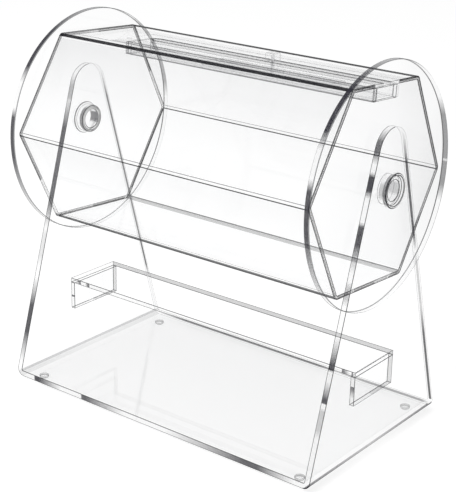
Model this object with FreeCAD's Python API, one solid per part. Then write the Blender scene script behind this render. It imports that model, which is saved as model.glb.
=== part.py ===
import FreeCAD, Part
import math
import os

# Table-top raffle drum of clear acrylic sheet. Millimetres.
# X runs along the drum's axis, Y from front to back, Z up.
# The origin is on the table, below the middle of the stand.

# Stand: one sheet, bent up at both ends into tapering uprights
stand_width = 322.0            # over the outer faces of the uprights
stand_depth = 188.0            # front edge to back edge of the base
stand_sheet = 5.0              # thickness
stand_bend = 1.5               # inside radius of the two bends
upright_tip_radius = 20.0      # rounded top of an upright
upright_tip_height = 272.0     # top of an upright above the base's underside
axis_height = 222.0            # drum axis above the base's underside

# Bumper feet under the base
foot_diameter = 8.5
foot_height = 2.5
foot_bevel = 1.2               # chamfer round its lower edge
foot_inset_x = 19.0            # foot centre from the base's end
foot_inset_y = 14.0            # foot centre from the base's long edge

# Brace: a board with a turned-down cheek at each end, glued between the uprights
brace_sheet = 4.0
brace_depth = 57.0
brace_top = 75.5               # top of the board above the base's underside
brace_drop = 29.5              # top of the board to the cheek's lower edge

# Drum: a tube with flat sides between two round discs
shell_sides = 6
disc_diameter = 200.0
disc_sheet = 5.0
disc_edge = 0.6                # polished edge, each side
drum_side_gap = 2.0            # disc to upright
drum_rest_turn = 3.5           # degrees the drum rests turned back
shell_corner_inset = 5.5       # sharp corner of the tube inside the disc's rim
shell_sheet = 3.0
shell_bend = 1.5               # inside radius of the tube's corners

# Hubs: a hollow sleeve glued to each disc runs in the upright, with a collar outside
sleeve_diameter = 24.0
sleeve_bore = 17.0
sleeve_recess = 2.0            # sleeve's end below the collar's outer face
sleeve_play = 0.08             # radial running clearance in the upright
glue_gap = 0.05                # radial gap of a glued round joint
collar_diameter = 28.5
collar_length = 4.0
collar_gap = 0.3               # collar to upright
collar_edge = 0.6              # chamfer on the collar's outer rim

# Slide channel let into the drum's top flat
channel_width = 35.5
channel_depth = 13.5           # drum's top surface to the channel's underside
channel_sheet = 3.0            # its walls; its cover is as thick as the tube
channel_floor = 2.0
channel_setback = 49.0         # left disc to the channel's closed end
slot_width = 10.5
slot_setback = 15.0            # channel's closed end to the slot's round end
window_width = 22.0
window_length = 116.0
window_margin = 6.0            # window to the right end wall
window_corner = 3.0            # radius of the window's corners

# Door: a plate that slides in the channel, moved by a knob above the slot
door_sheet = 3.0
door_length = 122.0
door_side_play = 0.5
door_end_play = 1.0
door_lift = 0.3                # running gap above the channel's floor
door_open_by = 42.5            # how far the door stands from closed
knob_diameter = 12.5
knob_height = 6.0
knob_lift = 0.4                # knob above the cover
knob_edge = 0.8                # chamfer on the knob's top rim
stem_diameter = 8.0
screw_diameter = 3.0
screw_play = 0.05              # radial gap round the screw
screw_head_diameter = 5.5
screw_head_depth = 1.7
screw_grip = 4.5               # length of screw inside the knob

past = 1.0                     # a cutter's overrun
tiny = 1e-6                    # lengths closer than this count as equal

# Places that follow from the sizes
base_z = foot_height
base_top_z = base_z + stand_sheet
axis_z = base_z + axis_height
upright_outer_x = stand_width / 2
upright_inner_x = upright_outer_x - stand_sheet
disc_radius = disc_diameter / 2
disc_outer_x = upright_inner_x - drum_side_gap
disc_inner_x = disc_outer_x - disc_sheet
shell_corner_radius = disc_radius - shell_corner_inset
side_turn = 2 * math.pi / shell_sides
shell_top_z = axis_z + shell_corner_radius * math.cos(side_turn / 2)
cover_under_z = shell_top_z - shell_sheet
channel_under_z = shell_top_z - channel_depth
channel_floor_z = channel_under_z + channel_floor
channel_left_x = -disc_inner_x + channel_setback
channel_right_x = disc_inner_x
channel_inner_left_x = channel_left_x + channel_sheet
channel_inner_right_x = channel_right_x - channel_sheet
channel_inner_y = channel_width / 2 - channel_sheet
door_under_z = channel_floor_z + door_lift
door_top_z = door_under_z + door_sheet
door_right_x = channel_inner_right_x - door_end_play - door_open_by
door_x = door_right_x - door_length / 2
knob_z = shell_top_z + knob_lift

X = FreeCAD.Vector(1, 0, 0)
Y = FreeCAD.Vector(0, 1, 0)
Z = FreeCAD.Vector(0, 0, 1)


def block(x0, x1, y0, y1, z0, z1):
    """A box between two corners."""
    return Part.makeBox(x1 - x0, y1 - y0, z1 - z0, FreeCAD.Vector(x0, y0, z0))


def rod_x(diameter, x0, x1):
    """A cylinder on the drum's axis."""
    return Part.makeCylinder(diameter / 2, x1 - x0, FreeCAD.Vector(x0, 0, axis_z), X)


def rod_z(diameter, x, z0, z1):
    """An upright cylinder on the slot's centre line."""
    return Part.makeCylinder(diameter / 2, z1 - z0, FreeCAD.Vector(x, 0, z0), Z)


def edges_along(shape, direction):
    """The straight edges of a shape that run along a direction."""
    found = []
    for edge in shape.Edges:
        if not isinstance(edge.Curve, Part.Line):
            continue
        if edge.tangentAt(edge.FirstParameter).cross(direction).Length < tiny:
            found.append(edge)
    return found


def circle_edges(shape, diameter, x=None, z=None):
    """The round edges of a shape with a given diameter, at a given place along their axis."""
    found = []
    for edge in shape.Edges:
        if not isinstance(edge.Curve, Part.Circle):
            continue
        centre = edge.Curve.Center
        same_size = abs(edge.Curve.Radius - diameter / 2) < tiny
        same_x = x is None or abs(centre.x - x) < tiny
        same_z = z is None or abs(centre.z - z) < tiny
        if same_size and same_x and same_z:
            found.append(edge)
    return found


def trough(half_width, floor_z, radius):
    """A long block with its two lower edges rounded: the stand's outside or inside form."""
    top_z = base_z + upright_tip_height
    body = block(-half_width, half_width, -stand_depth / 2, stand_depth / 2, floor_z, top_z + past)
    low = [edge for edge in edges_along(body, Y) if edge.CenterOfMass.z < floor_z + tiny]
    return body.makeFillet(radius, low)


def side_point(y, z):
    """A point of the stand's side view."""
    return FreeCAD.Vector(-upright_outer_x - past, y, z)


def upright_outline():
    """Side view of the stand: straight up past the bend, then tapering to a round tip."""
    low_z = base_top_z + stand_bend
    half = stand_depth / 2
    centre_z = base_z + upright_tip_height - upright_tip_radius
    rise = centre_z - low_z
    lean = math.atan2(half, rise)
    swing = math.asin(upright_tip_radius / math.hypot(half, rise))
    turn = lean - swing
    touch_y = upright_tip_radius * math.cos(turn)
    touch_z = centre_z + upright_tip_radius * math.sin(turn)
    corners = [side_point(-touch_y, touch_z), side_point(-half, low_z)]
    corners += [side_point(-half, base_z - past), side_point(half, base_z - past)]
    corners += [side_point(half, low_z), side_point(touch_y, touch_z)]
    outline = Part.makePolygon(corners)
    summit = side_point(0, centre_z + upright_tip_radius)
    tip = Part.Arc(corners[-1], summit, corners[0]).toShape()
    face = Part.Face(Part.Wire(outline.Edges + [tip]))
    return face.extrude(X * (stand_width + 2 * past))


def stand():
    """The bent sheet, cut to its tapering uprights and bored for the hubs."""
    sheet = trough(upright_outer_x, base_z, stand_bend + stand_sheet)
    sheet = sheet.cut(trough(upright_inner_x, base_top_z, stand_bend))
    sheet = sheet.common(upright_outline())
    bore = sleeve_diameter + 2 * sleeve_play
    return sheet.cut(rod_x(bore, -upright_outer_x - past, upright_outer_x + past))


def foot(x, y):
    """A clear bumper foot under the base, its lower edge bevelled."""
    body = Part.makeCylinder(foot_diameter / 2, foot_height, FreeCAD.Vector(x, y, 0), Z)
    return body.makeChamfer(foot_bevel, circle_edges(body, foot_diameter, z=0))


def brace_board():
    """The board between the uprights."""
    top_z = base_z + brace_top
    half = brace_depth / 2
    return block(-upright_inner_x, upright_inner_x, -half, half, top_z - brace_sheet, top_z)


def brace_cheek(side):
    """A cheek below one end of the board, glued flat against the upright."""
    top_z = base_z + brace_top - brace_sheet
    low_z = base_z + brace_top - brace_drop
    half = brace_depth / 2
    outer_x = side * upright_inner_x
    inner_x = side * (upright_inner_x - brace_sheet)
    return block(min(outer_x, inner_x), max(outer_x, inner_x), -half, half, low_z, top_z)


def hexagon(corner_radius, bend, x0, x1):
    """A bar with flat sides on the drum's axis, one side on top, with rounded corners."""
    corners = []
    for step in range(shell_sides):
        angle = side_turn * (step + 0.5)
        y = corner_radius * math.sin(angle)
        z = axis_z + corner_radius * math.cos(angle)
        corners.append(FreeCAD.Vector(x0, y, z))
    outline = Part.makePolygon(corners + corners[:1])
    bar = Part.Face(outline).extrude(X * (x1 - x0))
    return bar.makeFillet(bend, edges_along(bar, X))


def shell():
    """The drum's wall: sheet folded to flat sides, the top one opened for the channel."""
    outside = hexagon(shell_corner_radius, shell_bend + shell_sheet, -disc_inner_x, disc_inner_x)
    inside_radius = shell_corner_radius - shell_sheet / math.cos(side_turn / 2)
    inside = hexagon(inside_radius, shell_bend, -disc_inner_x - past, disc_inner_x + past)
    half = channel_width / 2
    low_z = cover_under_z - past
    high_z = shell_top_z + past
    opening = block(channel_left_x, disc_inner_x + past, -half, half, low_z, high_z)
    return outside.cut(inside).cut(opening)


def disc(side):
    """A round end disc with a polished rim."""
    x0 = min(side * disc_inner_x, side * disc_outer_x)
    body = rod_x(disc_diameter, x0, x0 + disc_sheet)
    return body.makeChamfer(disc_edge, circle_edges(body, disc_diameter))


def sleeve(side):
    """The hollow hub: glued to the disc's face, it turns in the upright."""
    inner_x = side * disc_outer_x
    outer_x = side * (upright_outer_x + collar_gap + collar_length - sleeve_recess)
    x0 = min(inner_x, outer_x)
    x1 = max(inner_x, outer_x)
    return rod_x(sleeve_diameter, x0, x1).cut(rod_x(sleeve_bore, x0 - past, x1 + past))


def collar(side):
    """The ring outside an upright that keeps the drum in place."""
    near_x = side * (upright_outer_x + collar_gap)
    far_x = near_x + side * collar_length
    x0 = min(near_x, far_x)
    body = rod_x(collar_diameter, x0, x0 + collar_length)
    body = body.makeChamfer(collar_edge, circle_edges(body, collar_diameter, x=far_x))
    bore = sleeve_diameter + 2 * glue_gap
    return body.cut(rod_x(bore, x0 - past, x0 + collar_length + past))


def slot_cover():
    """The channel's lid, flush with the drum's top, slotted up to the right disc."""
    half = channel_width / 2
    strip = block(channel_left_x, channel_right_x, -half, half, cover_under_z, shell_top_z)
    slot_half = slot_width / 2
    round_x = channel_left_x + slot_setback + slot_half
    low_z = cover_under_z - past
    high_z = shell_top_z + past
    slot = rod_z(slot_width, round_x, low_z, high_z)
    run = block(round_x, channel_right_x + past, -slot_half, slot_half, low_z, high_z)
    slot = slot.fuse(run)
    return strip.cut(slot)


def channel_side(side):
    """A long wall of the channel, hanging from the lid's edge."""
    outer_y = side * channel_width / 2
    inner_y = side * channel_inner_y
    y0 = min(outer_y, inner_y)
    y1 = max(outer_y, inner_y)
    return block(channel_left_x, channel_right_x, y0, y1, channel_under_z, cover_under_z)


def channel_end(x0):
    """A short wall that closes one end of the channel."""
    return block(x0, x0 + channel_sheet, -channel_inner_y, channel_inner_y, channel_under_z, cover_under_z)


def window_plate():
    """The channel's floor, with the window that the door opens and closes."""
    half = channel_inner_y
    plate = block(channel_inner_left_x, channel_inner_right_x, -half, half, channel_under_z, channel_floor_z)
    right_x = channel_inner_right_x - window_margin
    left_x = right_x - window_length
    low_z = channel_under_z - past
    high_z = channel_floor_z + past
    window = block(left_x, right_x, -window_width / 2, window_width / 2, low_z, high_z)
    window = window.makeFillet(window_corner, edges_along(window, Z))
    return plate.cut(window)


def screw_hole(z0, z1):
    """The hole that the knob's screw passes through."""
    return rod_z(screw_diameter + 2 * screw_play, door_x, z0, z1)


def door_plate():
    """The sliding door, countersunk from below for the knob's screw."""
    half = channel_inner_y - door_side_play
    left_x = door_x - door_length / 2
    plate = block(left_x, left_x + door_length, -half, half, door_under_z, door_top_z)
    plate = plate.cut(screw_hole(door_under_z - past, door_top_z + past))
    return plate.cut(screw_head(screw_play))


def screw_head(play):
    """The countersunk head, grown by a play where it is a cutter."""
    wide = screw_head_diameter / 2 + play
    narrow = screw_diameter / 2 + play
    return Part.makeCone(wide, narrow, screw_head_depth, FreeCAD.Vector(door_x, 0, door_under_z), Z)


def knob_stem():
    """The spacer between door and knob, which runs in the slot."""
    stem = rod_z(stem_diameter, door_x, door_top_z, knob_z)
    return stem.cut(screw_hole(door_top_z - past, knob_z + past))


def knob():
    """The round knob that the hand pushes, with a blind hole for the screw."""
    top_z = knob_z + knob_height
    body = rod_z(knob_diameter, door_x, knob_z, top_z)
    body = body.makeChamfer(knob_edge, circle_edges(body, knob_diameter, z=top_z))
    return body.cut(screw_hole(knob_z - past, knob_z + screw_grip))


def knob_screw():
    """The countersunk screw that holds knob, stem and door together."""
    shank = rod_z(screw_diameter, door_x, door_under_z + screw_head_depth, knob_z + screw_grip)
    return screw_head(0.0).fuse(shank)


def turned(shape):
    """A piece of the drum, turned back on the axis to where the drum rests."""
    return shape.rotated(FreeCAD.Vector(0, 0, axis_z), X, -drum_rest_turn)


parts = {}
parts["stand_sheet"] = stand()
foot_x = upright_outer_x - foot_inset_x
foot_y = stand_depth / 2 - foot_inset_y
for row, side_y in (("front", -1), ("back", 1)):
    parts["foot_" + row + "_left"] = foot(-foot_x, side_y * foot_y)
    parts["foot_" + row + "_right"] = foot(foot_x, side_y * foot_y)
parts["brace_board"] = brace_board()
parts["drum_shell"] = turned(shell())
for name, side in (("left", -1), ("right", 1)):
    parts["brace_cheek_" + name] = brace_cheek(side)
    parts["end_disc_" + name] = turned(disc(side))
    parts["hub_sleeve_" + name] = turned(sleeve(side))
    parts["hub_collar_" + name] = turned(collar(side))
parts["slot_cover"] = turned(slot_cover())
parts["channel_wall_front"] = turned(channel_side(-1))
parts["channel_wall_back"] = turned(channel_side(1))
parts["channel_end_left"] = turned(channel_end(channel_left_x))
parts["channel_end_right"] = turned(channel_end(channel_inner_right_x))
parts["window_plate"] = turned(window_plate())
parts["door_plate"] = turned(door_plate())
parts["knob_stem"] = turned(knob_stem())
parts["door_knob"] = turned(knob())
parts["knob_screw"] = turned(knob_screw())

os.makedirs("parts", exist_ok=True)
for name, shape in parts.items():
    shape.exportStep("parts/" + name + ".step")
    box = shape.BoundBox
    print(name, shape.isValid(), len(shape.Solids), round(shape.Volume, 1),
          [round(value, 2) for value in (box.XMin, box.XMax, box.YMin, box.YMax, box.ZMin, box.ZMax)])
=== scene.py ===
import math

import bpy
from mathutils import Matrix, Vector


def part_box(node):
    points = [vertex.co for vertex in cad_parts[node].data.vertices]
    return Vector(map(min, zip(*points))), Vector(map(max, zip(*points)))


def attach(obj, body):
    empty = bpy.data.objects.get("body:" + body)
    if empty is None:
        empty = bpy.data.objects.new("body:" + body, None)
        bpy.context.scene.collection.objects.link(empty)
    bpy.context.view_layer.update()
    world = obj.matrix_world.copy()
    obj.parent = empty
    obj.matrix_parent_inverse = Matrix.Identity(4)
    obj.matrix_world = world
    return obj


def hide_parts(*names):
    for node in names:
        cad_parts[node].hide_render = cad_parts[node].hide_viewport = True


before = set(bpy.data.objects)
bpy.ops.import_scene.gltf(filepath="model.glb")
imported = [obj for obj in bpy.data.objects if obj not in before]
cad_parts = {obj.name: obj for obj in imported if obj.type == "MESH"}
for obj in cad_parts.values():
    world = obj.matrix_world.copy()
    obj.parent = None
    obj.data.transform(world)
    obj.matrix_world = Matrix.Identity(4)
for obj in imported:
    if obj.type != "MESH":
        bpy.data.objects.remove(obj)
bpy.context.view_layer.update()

MM = 0.001

# Sizes of the drum and its stand, in millimetres, as built

AXIS_Z = 224.5
STAND_OUT_X = 161.0
STAND_THICK = 5.0
STAND_BEND = 1.5
STAND_UNDER_Z = 2.5
STAND_HALF_Y = 94.0
TIP_RADIUS = 20.0
TIP_Z = 274.5
HOLE_RADIUS = 12.08
SHELL_OUT = 81.84          # axis to the outside of a flat
SHELL_THICK = 3.0
SHELL_END_X = 149.0
OPENING_LEFT_X = -100.0
OPENING_HALF_Y = 17.75
DISC_RADIUS = 100.0
DISC_EDGE = 0.6
SLEEVE_RADIUS = 12.0
SLEEVE_BORE = 8.5
SLEEVE_OUT_X = 163.3
COLLAR_RADIUS = 14.25
COLLAR_BORE = 12.05
COLLAR_NEAR_X = 161.3
COLLAR_FAR_X = 165.3
DISC_OUT_X = 154.0
UNDER_COVER_Z = 303.34
CHANNEL_INNER_Y = 14.75
COVER_THICK = 3.0
CHANNEL_INNER_LEFT_X = -97.0
CHANNEL_INNER_RIGHT_X = 146.0
SLOT_LEFT_X = -79.75       # centre of the slot's round end
SLOT_RADIUS = 5.25
BRACE_END_X = 156.0
BOARD_UNDER_Z = 74.0
FOOT_X = 142.0
FOOT_Y = 80.0
FOOT_RADIUS = 4.25
DRUM_TURN = 3.5            # degrees the drum rests turned back
KNOB_X = 41.5
KNOB_LOW_Z = 306.74
KNOB_HIGH_Z = 312.74
KNOB_RADIUS = 6.25

# Shader values and finishes


def join(tree, socket, value):
    """Links a value to a socket, or writes a plain number or colour into it."""
    if isinstance(value, Wire):
        tree.links.new(value.socket, socket)
    else:
        socket.default_value = value


class Wire:
    """A shader value that Python's operators work on."""

    def __init__(self, tree, socket):
        self.tree = tree
        self.socket = socket

    def calc(self, operation, *values):
        made = self.tree.nodes.new("ShaderNodeMath")
        made.operation = operation
        for socket, value in zip(made.inputs, values):
            join(self.tree, socket, value)
        return Wire(self.tree, made.outputs[0])

    def __add__(self, other):
        return self.calc("ADD", self, other)

    def __radd__(self, other):
        return self.calc("ADD", other, self)

    def __sub__(self, other):
        return self.calc("SUBTRACT", self, other)

    def __rsub__(self, other):
        return self.calc("SUBTRACT", other, self)

    def __mul__(self, other):
        return self.calc("MULTIPLY", self, other)

    def __rmul__(self, other):
        return self.calc("MULTIPLY", other, self)

    def __truediv__(self, other):
        return self.calc("DIVIDE", self, other)

    def __pow__(self, other):
        return self.calc("POWER", self, other)

    def __abs__(self):
        return self.calc("ABSOLUTE", self)

    def __gt__(self, other):
        return self.calc("GREATER_THAN", self, other)

    def __lt__(self, other):
        return self.calc("LESS_THAN", self, other)

    def least(self, *others):
        found = self
        for other in others:
            found = found.calc("MINIMUM", found, other)
        return found

    def most(self, *others):
        found = self
        for other in others:
            found = found.calc("MAXIMUM", found, other)
        return found

    def toward(self, other, mask):
        """The first value where the mask is 0, the other where it is 1."""
        return self + (other - self) * mask

    def root(self):
        return self.calc("SQRT", self)

    def angle(self, other):
        """The angle whose tangent is self over other, in degrees."""
        return self.calc("ARCTAN2", self, other) * (180 / math.pi)


class Finish:
    """A material, built node by node."""

    def __init__(self, name):
        self.material = bpy.data.materials.new(name)
        self.material.use_nodes = True
        self.tree = self.material.node_tree
        self.tree.nodes.clear()

    def node(self, kind, settings, sockets, output=0):
        """Adds a node: its settings come first, then its sockets' values or links."""
        made = self.tree.nodes.new("ShaderNode" + kind)
        for key, value in settings.items():
            setattr(made, key, value)
        for key, value in sockets.items():
            join(self.tree, made.inputs[key], value)
        return Wire(self.tree, made.outputs[output]) if made.outputs else None

    def place(self):
        """The point on the piece, in millimetres, as three values."""
        metres = self.node("TexCoord", {}, {}, "Object")
        point = self.node("VectorMath", {"operation": "SCALE"}, {0: metres, "Scale": 1 / MM})
        return [self.node("SeparateXYZ", {}, {0: point}, axis) for axis in "XYZ"]

    def drum_place(self):
        """The same point, turned to where it lies when the drum stands level."""
        x, y, z = self.place()
        up = z - AXIS_Z
        sin_turn, cos_turn = math.sin(math.radians(DRUM_TURN)), math.cos(math.radians(DRUM_TURN))
        return [x, y * cos_turn - up * sin_turn, y * sin_turn + up * cos_turn + AXIS_Z]

    def on_planes(self, place, planes):
        """1 on any of some planes. Each is an axis and how far it lies out along X or Y, or how high."""
        found = 0.0
        for axis, value in planes:
            spot = place[axis] if axis == 2 else abs(place[axis])
            hit = self.line(abs(spot - value), ON_PLANE, ON_PLANE_SOFT)
            found = hit.most(found)
        return found

    def ramp(self, value, start, end, first=0.0, last=1.0):
        """Runs from one number to another as the value goes from start to end."""
        return self.node("MapRange", {"clamp": True}, {
            "Value": value, "From Min": start, "From Max": end, "To Min": first, "To Max": last})

    def line(self, distance, width, soft=0.06):
        """1 nearer than the width, fading to 0 just past it."""
        return self.ramp(distance, width + soft, width - soft)

    def stretch(self, along, rise, full, fade, end, strength):
        """A painted dark stretch of an edge: it rises to full, and fades to its end."""
        return self.ramp(along, rise, full).least(self.ramp(along, fade, end, 1.0, 0.0)) * strength

    def stretches(self, along, marks):
        """All the painted dark stretches along one edge."""
        made = [self.stretch(along, *mark) for mark in marks]
        return made[0].most(*made[1:])

    def rings(self, radius, sizes):
        """1 on some thin rings. The first is a little wider."""
        found = self.line(abs(radius - sizes[0]), FIRST_RING_WIDTH)
        for size in sizes[1:]:
            found = found.most(self.line(abs(radius - size), NEXT_RING_WIDTH))
        return found

    def noise(self, scale, detail=2.0, stretch=(1.0, 1.0, 1.0)):
        """Smooth random variation, with scale in features a metre."""
        metres = self.node("TexCoord", {}, {}, "Object")
        spot = self.node("Mapping", {}, {"Vector": metres, "Scale": stretch})
        return self.node("TexNoise", {}, {"Vector": spot, "Scale": scale, "Detail": detail})

    def end(self, shader):
        self.node("OutputMaterial", {}, {"Surface": shader})
        return self.material


ON_PLANE = 0.05            # millimetres either side of a glued face
ON_PLANE_SOFT = 0.02
FIRST_RING_WIDTH = 0.42
NEXT_RING_WIDTH = 0.34
ACRYLIC_IOR = 1.49
PANE_MIRROR = 0.025        # share mirrored by a pane seen straight on
PANE_GLANCE = 0.20         # share added when it is seen edge-on
# Painted shade: dark lines on edges, painted reflections on narrow sides and painted grey on panes
LINE_COVER = 0.97
BAND_COVER = 0.98
LINE_COLOUR = (0.010, 0.010, 0.013, 1)
BAND_COLOUR = (0.030, 0.029, 0.040, 1)
PAINTED_SHADE_COLOUR = (0.34, 0.345, 0.36, 1)
PANE_COLOUR = (0.9975, 0.998, 0.9985, 1)
GLOSS_COLOUR = (1, 1, 1, 1)


def clear_shader(finish, shine=1.0):
    """Clear sheet seen through its face: it lets light through and mirrors a little."""
    facing = finish.node("LayerWeight", {}, {"Blend": 0.5}, "Facing")
    mirror = (PANE_MIRROR + PANE_GLANCE * facing ** 5.0) * shine
    through = finish.node("BsdfTransparent", {}, {"Color": PANE_COLOUR})
    gloss = finish.node("BsdfGlossy", {}, {"Color": GLOSS_COLOUR, "Roughness": 0.0})
    return finish.node("MixShader", {}, {0: mirror, 1: through, 2: gloss})


def clear_finish(name, edges, line_cover=LINE_COVER):
    """Clear acrylic with painted shade: dark lines on its edges, painted reflections on its narrow sides
    and painted grey on its panes.

    edges(finish) gives the masks of the painted lines, bands and pane grey, and the shine. A face glued
    to another has no shine, because light goes straight through the joint.
    """
    finish = Finish(name)
    line, band, painted_shade, shine = edges(finish)
    line = line * line_cover
    band = band * BAND_COVER
    # the edge shader paints the shade and reflections that clear sheet shows at its edges and on its
    # panes
    cover = line.most(band, painted_shade)
    in_band = band > painted_shade
    dark = finish.node("Mix", {"data_type": "RGBA"}, {0: in_band, 6: PAINTED_SHADE_COLOUR, 7: BAND_COLOUR}, 2)
    colour = finish.node("Mix", {"data_type": "RGBA"}, {0: line, 6: dark, 7: LINE_COLOUR}, 2)
    edge = finish.node("BsdfPrincipled", {}, {
        "Base Color": colour, "Roughness": 0.35, "IOR": ACRYLIC_IOR,
        "Specular IOR Level": 0.02})
    pane = clear_shader(finish, shine)
    return finish.end(finish.node("MixShader", {}, {0: cover, 1: pane, 2: edge}))


# Where each kind of piece has its painted dark edge lines, painted reflections and painted shade

LINE_WIDTH = 0.40
# a faint even grey over a pane, the least of its painted shade
FAINT_GREY = 0.006
EDGE_GREY = 0.03           # the least painted grey of a narrow side
ON_FACE = 0.04             # nearer than this to a face counts as on it


def middle(a, b, c):
    """The middle one of three values."""
    return a.least(b).most(a.most(b).least(c))


def level_box(node, in_drum):
    """The lowest and highest corner of a node, as it lies when the drum stands level."""
    turn = Matrix.Rotation(math.radians(DRUM_TURN if in_drum else 0.0), 3, "X")
    axis = Vector((0, 0, AXIS_Z))
    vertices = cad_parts[node].data.vertices
    points = [turn @ (vertex.co / MM - axis) + axis for vertex in vertices]
    return [[pick_end(point[way] for point in points) for way in range(3)] for pick_end in (min, max)]


def box_edges(node, glued, in_drum=False, marks=(), along=0, width=LINE_WIDTH, streak=0.10,
              painted_shade=FAINT_GREY, spread=1.0, behind=0.0):
    """A flat sheet that fills its box: painted dark lines along the box's edges, a band of painted
    reflections on its narrow sides.

    The dark marks are painted reflections on its front edge, and behind is how dark its painted back
    edge is. The spread widens the lines that run along X on level faces.
    """
    low, high = level_box(node, in_drum)
    sizes = [stop - start for start, stop in zip(low, high)]
    thin = sizes.index(min(sizes))

    def edges(finish):
        place = finish.drum_place() if in_drum else finish.place()
        gaps = [(value - start).least(stop - value) for value, start, stop in zip(place, low, high)]
        line = finish.line(middle(gaps[0], gaps[1] / spread, gaps[2]), width)
        # painted reflection streaks on the narrow sides, random in strength
        grain_and_painted_streaks = finish.ramp(finish.noise(14.0, 1.0), 0.40, 0.66, 0.02, streak)
        if marks:
            front = place[1] < 0.0
            dark = finish.stretches(place[along], marks) * front
            grain_and_painted_streaks = grain_and_painted_streaks.most(dark, (1.0 - front) * behind)
        shine = 1.0 - finish.on_planes(place, glued)
        return line, (gaps[thin] > ON_FACE) * grain_and_painted_streaks * shine, painted_shade * shine, shine
    return edges


# A painted dark reflection along an edge is given by where it starts, is full, starts to fade and ends,
# and how dark it gets. On a rim these are degrees, from 0 at the front over 90 at the top.
RIM_MARKS = (
    (125, 60, 38, 29, 0.97),
    (17, 12, -8, -52, 0.92),
)
HUB_RINGS = (11.7, 10.4, 8.8)
RING_REACH = 0.7           # rings are drawn this near to the end they belong to
ON_ROUND_SIDE = 0.2
ON_BORE = 0.1
DISC_GLUED = ((0, DISC_OUT_X),)
LEFT_FAR_MARKS = ((118, 132, 170, 179, 0.62),)
RIGHT_FAR_MARKS = ((145, 156, 179, 180.5, 0.70), (-160, -168, -179, -180.5, 0.70))


def disc_edges(side):
    """A round end disc: painted dark lines on its chamfers, painted reflections on its rim and painted
    grey reflection towards the back of the right one.
    """

    def edges(finish):
        place = finish.place()
        x, y, z = place
        out = abs(x)
        up = z - AXIS_Z
        radius = (y * y + up * up).root()
        far = DISC_RADIUS - radius
        end = (DISC_OUT_X - out).least(out - SHELL_END_X)
        turn = up.angle(0.0 - y)
        far_side = finish.ramp(abs(turn), 120.0, 165.0)
        # the chamfer lines are painted shade, darker on the far side of the rim
        line = (far < DISC_EDGE + 0.02) * (end < DISC_EDGE + 0.02) * (0.74 + 0.22 * far_side)
        marks = RIM_MARKS + (RIGHT_FAR_MARKS if side > 0 else LEFT_FAR_MARKS)
        # painted reflections along the rim
        band = (end > DISC_EDGE) * finish.stretches(turn, marks).most(EDGE_GREY)
        patches = finish.ramp(finish.noise(16.0, 1.5), 0.30, 0.70, 0.55, 1.0)
        # painted reflection grey on the face, darker towards +Y, most on the right disc, in patches
        depth = finish.ramp(y, 10.0, 92.0, 0.012, 0.105 if side > 0 else 0.02)
        joint = finish.on_planes(place, ((0, SHELL_END_X),))
        hub = finish.on_planes(place, DISC_GLUED) * (radius < SLEEVE_RADIUS)
        if side < 0:
            # painted dark rings where the hub shows through the left disc
            line = line.most(finish.rings(radius, HUB_RINGS) * (abs(out - DISC_OUT_X) < ON_PLANE))
        return line, band, depth * patches * (end < ON_FACE), 1.0 - joint.most(hub)
    return edges


def hub_edges(outside, bore, glued, end_x, rings, ring_cover, side_marks, side_reach, wall_cover=0.0):
    """A round piece on the drum's axis: painted dark rings on one end, and a side with painted dark
    reflections near it.

    The far wall of its bore has painted shade too, as much as wall_cover says.
    """

    def edges(finish):
        place = finish.place()
        x, y, z = place
        out = abs(x)
        up = z - AXIS_Z
        radius = (y * y + up * up).root()
        turn = up.angle(0.0 - y)
        from_end = abs(out - end_x)
        line = finish.rings(radius, rings) * finish.line(from_end, RING_REACH) * ring_cover
        on_side = (radius > outside - ON_ROUND_SIDE) * (from_end < side_reach)
        side = finish.stretches(turn, side_marks) * on_side
        # painted shade on the far wall of the bore
        wall = finish.ramp(abs(turn), 135.0, 155.0) * (radius < bore + ON_BORE) * wall_cover
        # faint painted grey streaks
        grain_and_painted_streaks = finish.ramp(finish.noise(160.0, 1.0), 0.42, 0.60, 0.0, 0.05)
        shine = 1.0 - finish.on_planes(place, glued)
        return line, side.most(wall, grain_and_painted_streaks), FAINT_GREY * shine, shine * 0.5
    return edges


# The bent sheet's painted dark reflections: by height on an upright, and along X on the base's long
# edges
RIGHT_LEG_MARKS = (
    (274, 266, 258, 249, 0.85),
    (244, 240, 230, 224, 0.95),
    (207, 203, 190, 168, 0.92),
    (163, 158, 150, 143, 0.42),
    (122, 100, 96, 94.5, 0.92),
    (88, 73, 70.5, 69.5, 0.92),
    (67, 64, 50, 42, 0.36),
)
LEFT_LEG_MARKS = (
    (268, 258, 248, 240, 0.55),
    (256, 222, 160, 132, 0.94),
    (136, 128, 110, 98, 0.22),
    (92, 66, 42, 14, 0.92),
)
FRONT_EDGE_MARKS = (
    (-141, -139.5, -134, -106, 0.93),
    (-83, -81.5, -76, -30, 0.88),
    (10, 96, 110, 148, 0.88),
)
RIGHT_BACK_LEG_MARKS = ((270, 240, 175, 160, 0.90), (160, 150, 110, 95, 0.40), (125, 80, 8, 4, 0.90))
LEFT_BACK_LEG_MARKS = ((270, 240, 60, 44, 0.85), (50, 45, 9, 4, 0.15))
BACK_EDGE_MARKS = ((-158, -120, 40, 70, 0.80), (50, 90, 150, 158, 0.72))
BEND_MARK = (18, 32, 80, 96, 0.95)      # degrees round a bend: 0 at the upright, 90 at the base
BEND_SKIN = 1.0            # depth that counts as a bend's own face
LEFT_BEND_SHARE = 0.22     # how dark the left bend's painted reflection is beside the right one
MIDDLE_BEND_SHARE = 0.6    # how dark a bend's painted reflection is in its middle beside its ends
BACK_LINE_SHARE = 0.30     # how dark the back half's painted lines are beside the front's
HOLE_LINE_WIDTH = 0.3
HOLE_LINE_COVER = 0.6
HOLE_MARGIN = 1.0          # round a hole there is no painted dark reflection
LEAST_PANE_GREY = 0.004          # the least painted grey of a pane
BASE_PAINTED_SHADE = 0.022
LEFT_BEND_PAINTED_SHADE = 0.32
BASE_EXTRA_SHINE = 2.4


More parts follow.
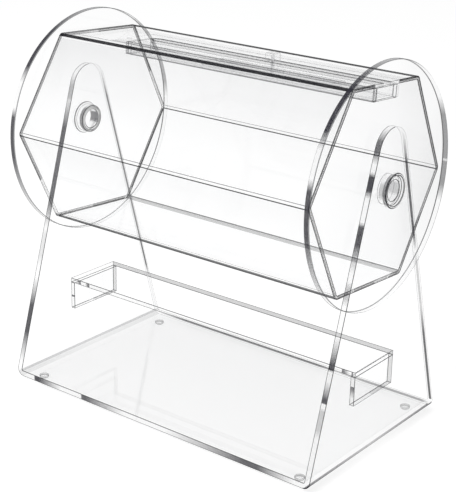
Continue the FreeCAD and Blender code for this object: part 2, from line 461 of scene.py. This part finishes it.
def stand_edges(finish):
    """The bent sheet: painted dark lines and reflections on its bends, its tapering sides, its round
    tips and its holes, and painted shade on its base.
    """
    x, y, z = finish.place()
    side_x, side_y = abs(x), abs(y)
    bend_x = STAND_OUT_X - STAND_THICK - STAND_BEND
    bend_z = STAND_UNDER_Z + STAND_THICK + STAND_BEND
    across = (side_x - bend_x).most(0.0)
    down = (bend_z - z).most(0.0)
    depth = (across * across + down * down).root()
    thick = (STAND_BEND + STAND_THICK - depth).least(depth - STAND_BEND)

    centre_z = TIP_Z - TIP_RADIUS
    rise = centre_z - bend_z
    turn = math.atan2(STAND_HALF_Y, rise) - math.asin(TIP_RADIUS / math.hypot(STAND_HALF_Y, rise))
    cos_turn, sin_turn = math.cos(turn), math.sin(turn)
    reach = STAND_HALF_Y * cos_turn + bend_z * sin_turn
    slope = reach - (side_y * cos_turn + z * sin_turn)
    up = z - centre_z
    tip = TIP_RADIUS - (side_y * side_y + up * up).root()
    in_tip = (up * cos_turn - side_y * sin_turn) > 0.0
    outline = slope + (tip - slope) * in_tip
    outline = outline.least(STAND_HALF_Y - side_y)
    hole = (side_y * side_y + (z - AXIS_Z) ** 2.0).root() - HOLE_RADIUS
    right, front = x > 0.0, y < 0.0
    on_base = z < bend_z
    weight = finish.ramp(front, 0.0, 1.0, BACK_LINE_SHARE, 1.0)
    line = finish.line(thick.most(outline), LINE_WIDTH) * weight
    line = line.most(finish.line(thick.most(hole), HOLE_LINE_WIDTH) * HOLE_LINE_COVER)

    # painted dark reflections along the legs and the base's long edges
    stroke = finish.ramp(thick, 0.9, 1.7)      # keeps the back's dark stretches off the corners
    front_leg = finish.stretches(z, LEFT_LEG_MARKS).toward(finish.stretches(z, RIGHT_LEG_MARKS), right)
    back_leg = finish.stretches(z, LEFT_BACK_LEG_MARKS)
    back_leg = back_leg.toward(finish.stretches(z, RIGHT_BACK_LEG_MARKS), right) * stroke
    leg = back_leg.toward(front_leg, front)
    back_edge = finish.stretches(x, BACK_EDGE_MARKS) * stroke
    low_edge = back_edge.toward(finish.stretches(x, FRONT_EDGE_MARKS), front)
    band = leg.toward(low_edge, on_base).most(EDGE_GREY) * (thick > ON_FACE) * (hole > HOLE_MARGIN)

    in_bend = (across > 0.0) * (down > 0.0)
    inside = (depth < STAND_BEND + BEND_SKIN) * in_bend
    outside = (depth > STAND_BEND + STAND_THICK - BEND_SKIN) * in_bend
    # painted reflection on the bends' outer faces, darker at their ends and on the right
    skin = finish.stretch(down.angle(across), *BEND_MARK) * outside
    skin = skin * (MIDDLE_BEND_SHARE + (1.0 - MIDDLE_BEND_SHARE) / STAND_HALF_Y * side_y)
    skin = skin * finish.ramp(right, 0.0, 1.0, LEFT_BEND_SHARE, 1.0)
    # painted shade over the base and in the crease inside the left bend
    base_painted_shade = on_base * (1.0 - in_bend) * BASE_PAINTED_SHADE
    painted_shade = base_painted_shade.most(inside * LEFT_BEND_PAINTED_SHADE * (1.0 - right)) + LEAST_PANE_GREY
    shine = 1.0 + on_base * BASE_EXTRA_SHINE
    return line, band.most(skin), painted_shade, shine


# The tube's painted dark stretches across a fold, in millimetres past it as shell_edges counts them
TOP_FRONT_FOLD = (-1.2, -0.9, 2.2, 2.5, 1.0)
TOP_BACK_FOLD = (-7.0, -6.5, 2.0, 2.4, 1.0)
LOW_FRONT_FOLD = (-4.5, -4.0, 3.6, 4.2, 0.80)
LOW_BACK_FOLD = (-2.5, -2.2, 1.8, 2.1, 0.50)
SOFT_BAND = (-27.0, -9.0, -6.4, -5.0, 0.26)
SOFT_BAND_CORE = (-13.5, -8.5, -6.4, -5.0, 0.66)
FAINT_FOLD_PLACE = -6.6
MID_FOLD_OFF = 1.4         # the front and back fold show as two painted dark lines, this far above and below
SKIN_DEPTH = 1.4           # depth that counts as the outer face, as the folds are rounded
INNER_SKIN_DEPTH = 0.1
TUBE_RIM_WIDTH = 0.52
TUBE_END_WIDTH = 0.80
PAINTED_SHADE_MARGIN = 3.5          # there is no painted shade this near the level sides' faces


def shell_edges(finish):
    """The folded tube: painted dark lines on its open ends and its folds, painted grey on its panes, and
    the cut-out in its top.
    """
    x, y, z = finish.drum_place()
    up = z - AXIS_Z
    side_y, side_z = abs(y), abs(up)
    sin_60, cos_60 = math.sin(math.radians(60)), math.cos(math.radians(60))
    flat = side_z.most(side_y * sin_60 + side_z * cos_60)
    thick = (SHELL_OUT - flat).least(flat - (SHELL_OUT - SHELL_THICK))
    on_skin = flat > SHELL_OUT - SKIN_DEPTH
    in_skin = flat < SHELL_OUT - SHELL_THICK + INNER_SKIN_DEPTH
    end = SHELL_END_X - abs(x)
    front, upper, right = y < 0.0, up > 0.0, x > 0.0
    past_left = x > OPENING_LEFT_X

    # past_fold is 0 on the folds beside a level side, grows along the slanted side and falls
    # along the level one
    # painted dark lines along the folds
    fold_above = finish.line(abs(up - MID_FOLD_OFF), 0.27) * 0.8
    fold_below = finish.line(abs(up + MID_FOLD_OFF), 0.48)
    mid_fold = fold_below.most(fold_above) * (side_y > SHELL_OUT)
    past_fold = side_y * sin_60 - side_z * cos_60
    near_corner = side_z > SHELL_OUT * 0.5
    faint = finish.line(abs(past_fold - FAINT_FOLD_PLACE), 1.2, 0.3) * (1.0 - past_left) * 0.55
    top_front = finish.stretch(past_fold, *TOP_FRONT_FOLD).most(faint)
    top_fold = finish.stretch(past_fold, *TOP_BACK_FOLD).toward(top_front, front)
    low_front = finish.stretch(past_fold, *LOW_FRONT_FOLD)
    low_fold = finish.stretch(past_fold, *LOW_BACK_FOLD).toward(low_front, front)
    low_inside = finish.line(abs(past_fold), 0.6) * near_corner * (1.0 - upper) * in_skin * 0.85
    corner_fold = low_fold.toward(top_fold, upper) * near_corner
    folds = (mid_fold.most(corner_fold) * on_skin).most(low_inside)

    # a soft painted dark band beside the front top fold, in patches
    halo = finish.stretch(past_fold, *SOFT_BAND)
    core = finish.stretch(past_fold, *SOFT_BAND_CORE)
    band_patches = finish.ramp(finish.noise(20.0, 1.0, (1.0, 4.0, 4.0)), 0.32, 0.60, 0.55, 1.0)
    soft = halo.most(core) * band_patches * past_left * near_corner * front * upper * on_skin

    on_top = up > (SHELL_OUT - SHELL_THICK - ON_FACE)
    opening = (side_y - OPENING_HALF_Y).most(OPENING_LEFT_X - x)
    in_cut = (opening < 0.05) * on_top
    thin_end = front * (1.0 - right)
    end_line = finish.line(end, TUBE_END_WIDTH) * (on_skin * 0.35 + 0.6) * (1.0 - thin_end)
    thin_line = finish.line(end, TUBE_RIM_WIDTH) * (on_skin * 0.62 + 0.24) * thin_end
    rim_line = finish.line(end.most(thick.most(0.0)), TUBE_RIM_WIDTH) * (1.0 - thin_end * 0.3)
    line = rim_line.most(end_line, thin_line, folds) * (1.0 - in_cut)

    # painted reflection streaks on the narrow end faces
    streak = finish.ramp(finish.noise(11.0, 1.0), 0.42, 0.62, 0.06, 0.60)
    band = ((thick > ON_FACE) * finish.line(end, ON_FACE, 0.02) * streak).most(soft)

    # painted reflection grey on the panes: by height on the front, towards +X on the back
    patches = finish.ramp(finish.noise(9.0, 1.5), 0.30, 0.70, 0.60, 1.0)
    high_pane = finish.ramp(up, 22.0, 80.0, 0.0, 0.19)
    low_pane = finish.ramp(up, -48.0, -2.0, 0.0, 0.10)
    back_pane = finish.ramp(x, 30.0, SHELL_END_X, 0.0, 0.13)
    pane = back_pane.toward(low_pane.toward(high_pane, upper), front)
    painted_shade = pane * patches * on_skin * (side_z < SHELL_OUT - PAINTED_SHADE_MARGIN) + LEAST_PANE_GREY
    joint = finish.line(end, ON_PLANE, ON_PLANE_SOFT)
    return line, band, painted_shade, 1.0 - joint.most(in_cut)


# Finishes of the pieces

# Painted dark reflections along the brace's front edges: along X on the board, by height on the cheeks
BOARD_MARKS = (
    (-150, -145, -144, -143.6, 0.85),
    (-139, -134.5, -133.3, -132.8, 0.85),
    (143, 143.6, 145, 150.5, 0.85),
    (152.3, 152.8, 153.4, 154.5, 0.90),
)
CHEEK_MARKS = {
    "left": ((62, 61.4, 60.2, 59.4, 0.85),),
    "right": ((65.5, 64.9, 63.5, 54.5, 0.90),),
}


def dress(node, material):
    """Gives a CAD node its material."""
    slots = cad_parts[node].data.materials
    slots.clear()
    slots.append(material)


dress("stand_sheet", clear_finish("acrylic_stand", stand_edges))
dress("drum_shell", clear_finish("acrylic_shell", shell_edges))
BRACE_GLUED = ((0, BRACE_END_X), (2, BOARD_UNDER_Z))
board = box_edges("brace_board", BRACE_GLUED, marks=BOARD_MARKS, behind=0.38)
dress("brace_board", clear_finish("acrylic_board", board))
for side in ("left", "right"):
    node = "brace_cheek_" + side
    cheek = box_edges(node, BRACE_GLUED, marks=CHEEK_MARKS[side], along=2, painted_shade=0.03, behind=0.30)
    dress(node, clear_finish("acrylic_" + node, cheek))

UNDER_COVER = (2, UNDER_COVER_Z)
INNER_SIDE = (1, CHANNEL_INNER_Y)
TUBE_END = (0, SHELL_END_X)
CHANNEL_GLUED = {
    "slot_cover": (UNDER_COVER, (1, OPENING_HALF_Y), TUBE_END, (0, -OPENING_LEFT_X)),
    "channel_wall_front": (UNDER_COVER, INNER_SIDE, TUBE_END),
    "channel_wall_back": (UNDER_COVER, INNER_SIDE, TUBE_END),
    "channel_end_left": (UNDER_COVER, INNER_SIDE),
    "channel_end_right": (UNDER_COVER, INNER_SIDE, TUBE_END),
    "window_plate": (INNER_SIDE, (0, -CHANNEL_INNER_LEFT_X), (0, CHANNEL_INNER_RIGHT_X)),
    "door_plate": (),
}
# painted reflection grey on some of the channel's sheets
CHANNEL_PAINTED_SHADE = {"channel_wall_front": 0.20, "channel_end_left": 0.03, "channel_end_right": 0.05}
CHANNEL_LINES = {           # how dark each sheet's painted edge lines are
    "slot_cover": 0.70, "channel_wall_front": 0.62, "channel_wall_back": 0.16,
    "channel_end_left": 0.55, "channel_end_right": 0.75, "window_plate": 0.16, "door_plate": 0.24,
}
CHANNEL_SPREAD = 2.5


def channel_edges(node):
    """A sheet of the channel. The cover has a painted dark line and painted grey round the slot's rim,
    and the front wall a painted dark lower edge.
    """
    plain = box_edges(node, CHANNEL_GLUED[node], in_drum=True, width=0.42, streak=0.05,
                      spread=CHANNEL_SPREAD, painted_shade=CHANNEL_PAINTED_SHADE.get(node, FAINT_GREY))

    def edges(finish):
        line, band, painted_shade, shine = plain(finish)
        x, y, z = finish.drum_place()
        if node == "slot_cover":
            past = (SLOT_LEFT_X - x).most(0.0)
            off_rim = abs((past * past + y * y).root() - SLOT_RADIUS)
            below_top = UNDER_COVER_Z + COVER_THICK - z
            line = line.most(finish.line(off_rim.most(below_top), 0.9))
            band = band.most((off_rim < ON_FACE) * 0.25)
        if node == "channel_wall_front":
            low = level_box(node, True)[0][2]
            line = line.most(finish.line(z - low, 0.8))
        return line, band, painted_shade, shine
    return edges


for node in CHANNEL_GLUED:
    sheet = clear_finish("acrylic_" + node, channel_edges(node), line_cover=CHANNEL_LINES[node])
    dress(node, sheet)

# painted dark rings and painted reflections on the hub sleeves
SLEEVE_EDGES = {
    "left": hub_edges(SLEEVE_RADIUS, SLEEVE_BORE, DISC_GLUED, end_x=DISC_OUT_X, rings=HUB_RINGS,
                      ring_cover=1.0, side_marks=((75, 55, -55, -75, 0.72),), side_reach=3.5,
                      wall_cover=0.75),
    "right": hub_edges(SLEEVE_RADIUS, SLEEVE_BORE, DISC_GLUED, end_x=SLEEVE_OUT_X, rings=(11.8, 8.7),
                       ring_cover=0.80, side_marks=((50, 20, -10, -36, 0.40),), side_reach=6.0,
                       wall_cover=0.35),
}
for side, sign in (("left", -1), ("right", 1)):
    dress("end_disc_" + side, clear_finish("acrylic_disc_" + side, disc_edges(sign)))
    dress("hub_sleeve_" + side, clear_finish("acrylic_hub_sleeve_" + side, SLEEVE_EDGES[side]))


def plain_clear(name, edge_on_shade_colour, cover, narrow):
    """Small clear turned pieces: painted shade gathers where they are seen edge-on."""
    finish = Finish(name)
    facing = finish.node("LayerWeight", {}, {"Blend": 0.5}, "Facing")
    patches = finish.ramp(finish.noise(260.0, 1.0), 0.35, 0.65, 0.75, 1.0)
    body = finish.node("BsdfPrincipled", {}, {
        "Base Color": edge_on_shade_colour, "Roughness": 0.15, "IOR": ACRYLIC_IOR, "Specular IOR Level": 0.3})
    # painted shade where the piece is seen edge-on, in patches
    body_cover = (facing ** narrow * cover * patches).least(1.0)
    pane = clear_shader(finish)
    return finish.end(finish.node("MixShader", {}, {0: body_cover, 1: pane, 2: body}))


knob_clear = plain_clear("acrylic_knob", (0.06, 0.06, 0.07, 1), 1.00, 5.0)
dress("knob_stem", plain_clear("acrylic_stem", (0.20, 0.20, 0.21, 1), 0.12, 3.0))


def bumper_edges(finish):
    """A bumper foot: a thin painted dark ring near its rim, and faint painted grey patches."""
    x, y = finish.place()[:2]
    aside, ahead = abs(x) - FOOT_X, abs(y) - FOOT_Y
    radius = (aside * aside + ahead * ahead).root()
    patches = finish.ramp(finish.noise(260.0, 1.0), 0.35, 0.65, 0.01, 0.05)
    return finish.line(abs(radius - FOOT_RADIUS + 0.25), 0.25) * 0.6, patches, 0.02, 1.0


bumper_clear = clear_finish("bumper", bumper_edges)

steel = Finish("steel")
grain_and_painted_streaks = steel.noise(900.0)
steel_finish = steel.end(steel.node("BsdfPrincipled", {}, {
    "Base Color": (0.95, 0.95, 0.955, 1), "Metallic": 1.0,
    "Roughness": steel.ramp(grain_and_painted_streaks, 0.3, 0.7, 0.2, 0.4)}))
dress("knob_screw", steel_finish)


# Turned and moulded pieces

def clear_selection():
    """Nothing selected, so that the next tool acts on its own piece alone."""
    bpy.ops.object.select_all(action="DESELECT")


def seat(piece, name, body, replaced, material):
    """Names a finished piece, gives it its finish and lets it ride on its body."""
    piece.name = name
    piece.data.name = name
    bpy.ops.object.mode_set(mode="OBJECT")
    bpy.ops.object.transform_apply(location=True, rotation=True, scale=True)
    bpy.ops.object.shade_smooth_by_angle(angle=math.radians(32))
    piece.data.materials.clear()
    piece.data.materials.append(material)
    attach(piece, body)
    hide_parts(replaced)


def pick(piece, kind, test):
    """Selects the vertices, edges or faces that pass a test, in edit mode."""
    bpy.ops.object.mode_set(mode="OBJECT")
    mesh = piece.data
    for part in (mesh.vertices, mesh.edges, mesh.polygons):
        part.foreach_set("select", [False] * len(part))
    chosen = {"VERT": mesh.vertices, "EDGE": mesh.edges, "FACE": mesh.polygons}[kind]
    for item in chosen:
        item.select = test(item)
    bpy.context.tool_settings.mesh_select_mode = (kind == "VERT", kind == "EDGE", kind == "FACE")
    bpy.ops.object.mode_set(mode="EDIT")


def edge_ends(piece, edge):
    """The two ends of an edge, as points."""
    return [piece.data.vertices[number].co for number in edge.vertices]


def turned_disc(radius, height, middle_point, steps):
    """A round blank, ready to be shaped."""
    clear_selection()
    bpy.ops.mesh.primitive_cylinder_add(
        vertices=steps, radius=radius * MM, depth=height * MM, location=middle_point)
    blank = bpy.context.object
    bpy.ops.object.transform_apply(location=True, rotation=True, scale=True)
    return blank


BUMPER_ROUND = 1.5
BUMPER_RIM = 1.1
BUMPER_FLAT_RISE = 0.25
BUMPER_FLAT_RIM = 0.5
BUMPER_TOP_RIM = 0.35


def make_bumper(node):
    """A clear bumper foot: a domed underside with a small flat, and a crisp upper rim."""
    low, high = [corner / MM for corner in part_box(node)]
    centre = (low + high) / 2
    radius = (high.x - low.x) / 2
    piece = turned_disc(radius, high.z - low.z, centre * MM, 40)
    under = (low.z + 0.001) * MM

    def lower_rim(edge):
        return all(end.z < under for end in edge_ends(piece, edge))

    pick(piece, "EDGE", lower_rim)
    bpy.ops.mesh.bevel(offset=BUMPER_ROUND * MM, segments=5, profile=0.5, affect="EDGES")
    pick(piece, "FACE", lambda face: face.normal.z < -0.99)
    bpy.ops.mesh.inset(thickness=BUMPER_RIM * MM)
    bpy.ops.transform.translate(value=(0, 0, BUMPER_FLAT_RISE * MM))
    bpy.ops.mesh.inset(thickness=BUMPER_FLAT_RIM * MM)
    pick(piece, "FACE", lambda face: face.normal.z > 0.99)
    bpy.ops.mesh.inset(thickness=BUMPER_TOP_RIM * MM)
    seat(piece, node.replace("foot", "bumper"), "stand", node, bumper_clear)


KNOB_TOP_ROUND = 0.9
KNOB_LOW_ROUND = 0.35
KNOB_RIM = 0.9
KNOB_DISH_STEP = 1.2
KNOB_RIM_DROP = 0.2
KNOB_DISH_DROP = 0.15


def make_knob():
    """The door's knob: a turned button with a rounded rim and a dished top."""
    height = KNOB_HIGH_Z - KNOB_LOW_Z
    centre = Vector((KNOB_X, 0, (KNOB_LOW_Z + KNOB_HIGH_Z) / 2)) * MM
    piece = turned_disc(KNOB_RADIUS, height, centre, 48)

    def on_top_rim(edge):
        return all(end.z > (KNOB_HIGH_Z - 0.01) * MM for end in edge_ends(piece, edge))

    def on_low_rim(edge):
        return all(end.z < (KNOB_LOW_Z + 0.01) * MM for end in edge_ends(piece, edge))

    pick(piece, "EDGE", on_top_rim)
    bpy.ops.mesh.bevel(offset=KNOB_TOP_ROUND * MM, segments=4, profile=0.5, affect="EDGES")
    pick(piece, "EDGE", on_low_rim)
    bpy.ops.mesh.bevel(offset=KNOB_LOW_ROUND * MM, segments=2, profile=0.5, affect="EDGES")
    pick(piece, "FACE", lambda face: face.normal.z > 0.99)
    bpy.ops.mesh.inset(thickness=KNOB_RIM * MM)
    bpy.ops.transform.translate(value=(0, 0, -KNOB_RIM_DROP * MM))
    bpy.ops.mesh.inset(thickness=KNOB_DISH_STEP * MM)
    bpy.ops.transform.translate(value=(0, 0, -KNOB_DISH_DROP * MM))
    bpy.ops.mesh.select_all(action="SELECT")
    bpy.ops.transform.rotate(
        value=math.radians(DRUM_TURN), orient_axis="X", center_override=(0, 0, AXIS_Z * MM))
    seat(piece, "turned_knob", "door", "door_knob", knob_clear)


def make_collar(side, sign):
    """A hub's collar: a ring spun from its section, with rounded rims."""
    section = (
        (COLLAR_BORE, COLLAR_NEAR_X),
        (COLLAR_RADIUS - 0.3, COLLAR_NEAR_X),
        (COLLAR_RADIUS, COLLAR_NEAR_X + 0.3),
        (COLLAR_RADIUS, COLLAR_FAR_X - 0.8),
        (COLLAR_RADIUS - 0.12, COLLAR_FAR_X - 0.4),
        (COLLAR_RADIUS - 0.4, COLLAR_FAR_X - 0.12),
        (COLLAR_RADIUS - 0.8, COLLAR_FAR_X),
        (COLLAR_BORE + 0.5, COLLAR_FAR_X),
        (COLLAR_BORE, COLLAR_FAR_X - 0.4),
    )
    clear_selection()
    bpy.ops.mesh.primitive_plane_add(size=1 * MM, location=(0, 0, 0))
    piece = bpy.context.object
    bpy.context.tool_settings.mesh_select_mode = (True, False, False)
    bpy.ops.object.mode_set(mode="EDIT")
    bpy.ops.mesh.select_all(action="SELECT")
    bpy.ops.mesh.merge(type="CENTER")
    bpy.ops.object.mode_set(mode="OBJECT")
    first_radius, first_x = section[0]
    piece.data.vertices[0].co = Vector((sign * first_x, 0, AXIS_Z + first_radius)) * MM
    bpy.ops.object.mode_set(mode="EDIT")
    bpy.ops.mesh.select_all(action="SELECT")
    for (radius, x), (next_radius, next_x) in zip(section, section[1:]):
        step = (sign * (next_x - x) * MM, 0, (next_radius - radius) * MM)
        bpy.ops.mesh.extrude_region_move(TRANSFORM_OT_translate={"value": step})
    bpy.ops.mesh.select_all(action="SELECT")
    bpy.ops.mesh.edge_face_add()
    bpy.ops.mesh.delete(type="ONLY_FACE")
    bpy.ops.mesh.select_all(action="SELECT")
    bpy.ops.mesh.spin(steps=64, angle=2 * math.pi, center=(0, 0, AXIS_Z * MM), axis=(1, 0, 0))
    bpy.ops.mesh.select_all(action="SELECT")
    bpy.ops.mesh.remove_doubles(threshold=0.001 * MM)
    bpy.ops.mesh.normals_make_consistent(inside=False)
    node = "hub_collar_" + side
    if sign < 0:
        end_x, rings, dark, reach = COLLAR_NEAR_X, (14.1,), 0.95, 0.5
    else:
        end_x, rings, dark, reach = COLLAR_FAR_X, (13.8, 12.4), 0.55, 3.0
    # painted dark rings and painted reflections on the collar
    ring = hub_edges(COLLAR_RADIUS, COLLAR_BORE, (), end_x, rings, ring_cover=0.95,
                     side_marks=((80, 60, -30, -60, dark),), side_reach=reach)
    clear_ring = clear_finish("acrylic_collar_" + side, ring)
    seat(piece, "turned_collar_" + side, "drum", node, clear_ring)


for row in ("front", "back"):
    for side in ("left", "right"):
        make_bumper("foot_" + row + "_" + side)
make_knob()
for side, sign in (("left", -1), ("right", 1)):
    make_collar(side, sign)

# Floor, light and camera

FLOOR_SIZE = 12.0
LIT_GREY = (0.80, 0.80, 0.80, 1)       # what the floor throws back onto the object
SEEN_GREY = (0.42, 0.42, 0.42, 1)      # what the camera sees, with a glow added
ROOM_LIGHT = 0.72
ROOM_SEEN_EXTRA = 0.28
clear_selection()
bpy.ops.mesh.primitive_plane_add(size=FLOOR_SIZE, location=(0, 0, 0))
floor = bpy.context.object
floor.name = "floor"
paper = Finish("pale_floor")
seen = paper.node("LightPath", {}, {}, "Is Camera Ray")
mirrored = paper.node("LightPath", {}, {}, "Is Glossy Ray")
passed = paper.node("LightPath", {}, {}, "Is Transmission Ray")
lit = paper.node("BsdfDiffuse", {}, {"Color": LIT_GREY})
dim = paper.node("BsdfDiffuse", {}, {"Color": SEEN_GREY})
glow = paper.node("Emission", {}, {"Color": (1, 1, 1, 1), "Strength": ROOM_LIGHT})
bright = paper.node("AddShader", {}, {0: dim, 1: glow})
floor.data.materials.append(paper.end(paper.node("MixShader", {}, {
    0: seen.most(mirrored, passed), 1: lit, 2: bright})))

world = bpy.data.worlds.new("studio")
bpy.context.scene.world = world
world.use_nodes = True
tree = world.node_tree
tree.nodes.clear()
path = tree.nodes.new("ShaderNodeLightPath")
seen = Wire(tree, path.outputs["Is Camera Ray"])
mirrored = Wire(tree, path.outputs["Is Glossy Ray"])
passed = Wire(tree, path.outputs["Is Transmission Ray"])
room = tree.nodes.new("ShaderNodeBackground")
join(tree, room.inputs["Strength"], ROOM_LIGHT + ROOM_SEEN_EXTRA * seen.most(mirrored, passed))
output = tree.nodes.new("ShaderNodeOutputWorld")
join(tree, output.inputs["Surface"], Wire(tree, room.outputs[0]))


def soft_box(name, place, target, size, power):
    """A square soft lamp that points at the object and isn't mirrored in its panes."""
    data = bpy.data.lights.new(name, "AREA")
    data.shape = "SQUARE"
    data.size = size
    data.energy = power
    lamp = bpy.data.objects.new(name, data)
    bpy.context.scene.collection.objects.link(lamp)
    place, target = Vector(place), Vector(target)
    facing = (place - target).to_track_quat("Z", "Y").to_matrix().to_4x4()
    lamp.matrix_world = Matrix.Translation(place) @ facing
    lamp.visible_glossy = False


soft_box("key", (-0.9, -1.1, 1.6), (0, 0, 0.15), 1.0, 14.0)
soft_box("fill", (1.4, -0.6, 1.2), (0, 0, 0.15), 1.2, 6.0)


def aim_camera(place, yaw, pitch, roll, lens):
    """A camera that looks along +Y at yaw 0 and turns towards -X as yaw grows. Pitch tips it up."""
    yaw, pitch, roll = [math.radians(angle) for angle in (yaw, pitch, roll)]
    level = math.cos(pitch)
    ahead = Vector((-math.sin(yaw) * level, math.cos(yaw) * level, math.sin(pitch)))
    aside = ahead.cross(Vector((0, 0, 1))).normalized()
    above = aside.cross(ahead)
    right = aside * math.cos(roll) + above * math.sin(roll)
    up = above * math.cos(roll) - aside * math.sin(roll)
    data = bpy.data.cameras.new("camera")
    data.lens = lens
    camera = bpy.data.objects.new("camera", data)
    bpy.context.scene.collection.objects.link(camera)
    camera.matrix_world = Matrix.Translation(place) @ Matrix((right, up, -ahead)).transposed().to_4x4()
    bpy.context.scene.camera = camera


CAMERA_PLACE = Vector((668.35, -861.45, 542.74)) * MM
aim_camera(CAMERA_PLACE, yaw=37.637, pitch=-20.298, roll=1.198, lens=99.18)

scene = bpy.context.scene
scene.view_settings.view_transform = "Standard"
scene.cycles.transparent_max_bounces = 48
scene.cycles.max_bounces = 16
